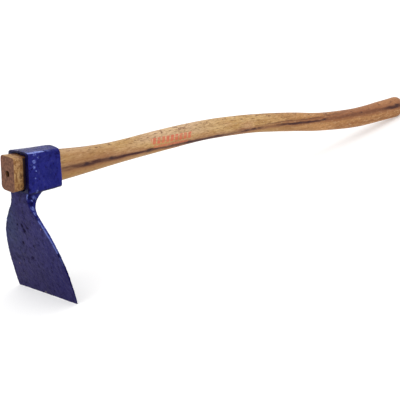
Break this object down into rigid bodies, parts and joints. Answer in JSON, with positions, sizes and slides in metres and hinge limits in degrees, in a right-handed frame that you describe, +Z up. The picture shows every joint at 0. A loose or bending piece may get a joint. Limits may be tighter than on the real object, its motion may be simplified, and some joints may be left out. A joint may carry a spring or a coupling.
{
  "type": "grub hoe",
  "caption": "Digging hoe with a forged steel head, a tapered square eye and a wide flared blade, held by slip fit on the flared foot of a curved wood handle.",
  "frame": {"origin": "on the floor under the middle of the tool's box, with the tool resting on its cutting edge and the underside of its grip", "axes": "+X from the head to the grip, +Y across the blade, +Z up"},
  "size_m": [0.8516, 0.154, 0.2232],
  "materials": {
    "blue_paint": "glossy dark blue enamel over a rough forging",
    "handle_wood": "satin, straight grain with a dark heartwood streak"
  },
  "bodies": {
    "head": {"hoe_head": "blue_paint"},
    "handle": {"handle": "handle_wood"}
  },
  "joints": [
    {"name": "handle_slide", "type": "slide", "parent": "head", "child": "handle", "axis": [-0.9806, 0, 0.1958], "range_m": [0, 0.16]}
  ]
}
